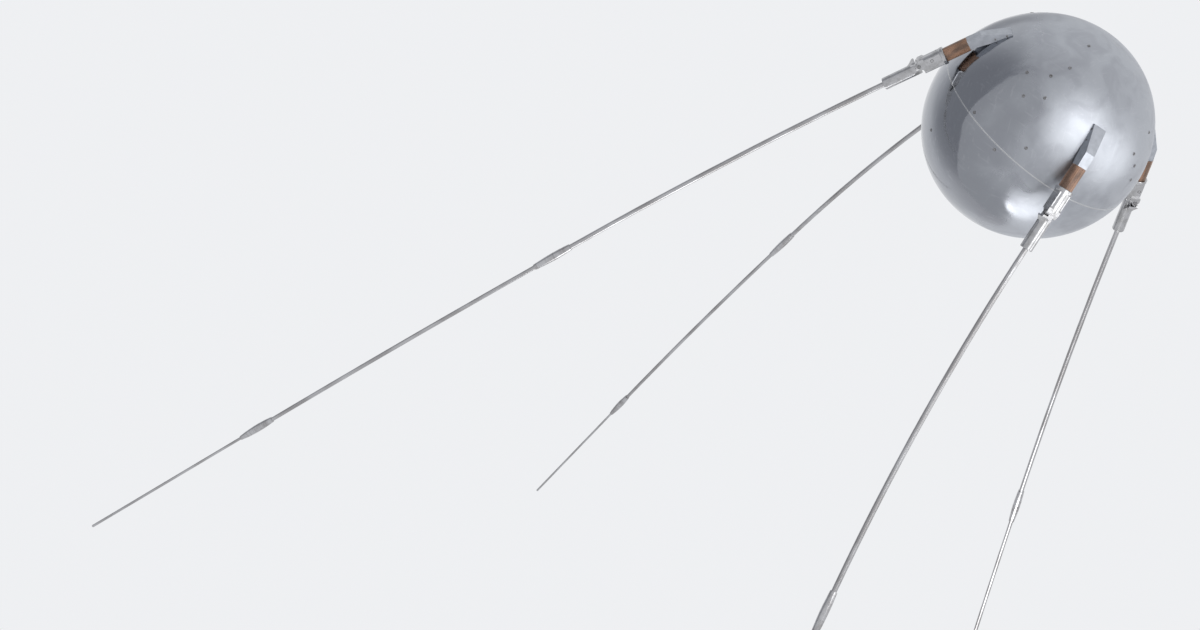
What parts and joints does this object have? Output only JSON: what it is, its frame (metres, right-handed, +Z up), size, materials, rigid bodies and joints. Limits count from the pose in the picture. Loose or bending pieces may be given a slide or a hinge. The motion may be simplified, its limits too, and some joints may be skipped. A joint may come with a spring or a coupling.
{
  "type": "hanging satellite with a polished sphere and trailing whip aerials",
  "caption": "Polished metal sphere of two half shells with long jointed whip aerials that trail back from sprung hinges on insulated brackets.",
  "frame": {"origin": "centre of the sphere, which hangs in the air", "axes": "+X is the nose axis, level, away from the trailing aerials; +Z is up as it hangs; -Y is the right-hand side"},
  "size_m": [3.075, 3.1388, 3.0638],
  "materials": {
    "polished_shell": "mirror polished, slightly wavy and scuffed",
    "satin_metal": "satin, milled",
    "bright_metal": "bright, machined",
    "rod_metal": "polished drawn rod",
    "steel_pin": "turned",
    "insulator": "turned brown phenolic resin",
    "gasket": "moulded rubber",
    "battery_case": "painted case"
  },
  "bodies": {
    "sphere": {"front_heat_shield": "polished_shell", "front_hemisphere": "polished_shell", "rear_hemisphere": "polished_shell", "seam_gasket": "gasket", "power_supply_block": "battery_case", "top_fairing": "satin_metal", "top_insulator": "insulator", "top_holder": "bright_metal", "top_hinge_pin": "steel_pin", "right_fairing": "satin_metal", "right_insulator": "insulator", "right_holder": "bright_metal", "right_hinge_pin": "steel_pin", "bottom_fairing": "satin_metal", "bottom_insulator": "insulator", "bottom_holder": "bright_metal", "bottom_hinge_pin": "steel_pin", "left_fairing": "satin_metal", "left_insulator": "insulator", "left_holder": "bright_metal", "left_hinge_pin": "steel_pin"},
    "top_whip": {"top_socket": "bright_metal", "top_lower_rod": "rod_metal", "top_first_coupling": "rod_metal", "top_middle_rod": "rod_metal", "top_second_coupling": "rod_metal", "top_tip_rod": "rod_metal"},
    "right_whip": {"right_socket": "bright_metal", "right_lower_rod": "rod_metal", "right_first_coupling": "rod_metal", "right_middle_rod": "rod_metal", "right_second_coupling": "rod_metal", "right_tip_rod": "rod_metal"},
    "bottom_whip": {"bottom_socket": "bright_metal", "bottom_lower_rod": "rod_metal", "bottom_first_coupling": "rod_metal", "bottom_middle_rod": "rod_metal", "bottom_second_coupling": "rod_metal", "bottom_tip_rod": "rod_metal"},
    "left_whip": {"left_socket": "bright_metal", "left_lower_rod": "rod_metal", "left_first_coupling": "rod_metal", "left_middle_rod": "rod_metal", "left_second_coupling": "rod_metal", "left_tip_rod": "rod_metal"}
  },
  "joints": [
    {"name": "top_whip_fold", "type": "hinge", "parent": "sphere", "child": "top_whip", "pos_m": [-0.02538, 0, 0.36401], "axis": [0, -1, 0], "range_deg": [0, 11], "stiffness_Nm_per_rad": 60, "springref_deg": -28.65},
    {"name": "right_whip_fold", "type": "hinge", "parent": "sphere", "child": "right_whip", "pos_m": [-0.02538, -0.36401, 0], "axis": [0, 0, -1], "range_deg": [0, 11], "stiffness_Nm_per_rad": 60, "springref_deg": -28.65},
    {"name": "bottom_whip_fold", "type": "hinge", "parent": "sphere", "child": "bottom_whip", "pos_m": [-0.02538, 0, -0.36401], "axis": [0, 1, 0], "range_deg": [0, 11], "stiffness_Nm_per_rad": 60, "springref_deg": -28.65},
    {"name": "left_whip_fold", "type": "hinge", "parent": "sphere", "child": "left_whip", "pos_m": [-0.02538, 0.36401, 0], "axis": [0, 0, 1], "range_deg": [0, 11], "stiffness_Nm_per_rad": 60, "springref_deg": -28.65}
  ]
}
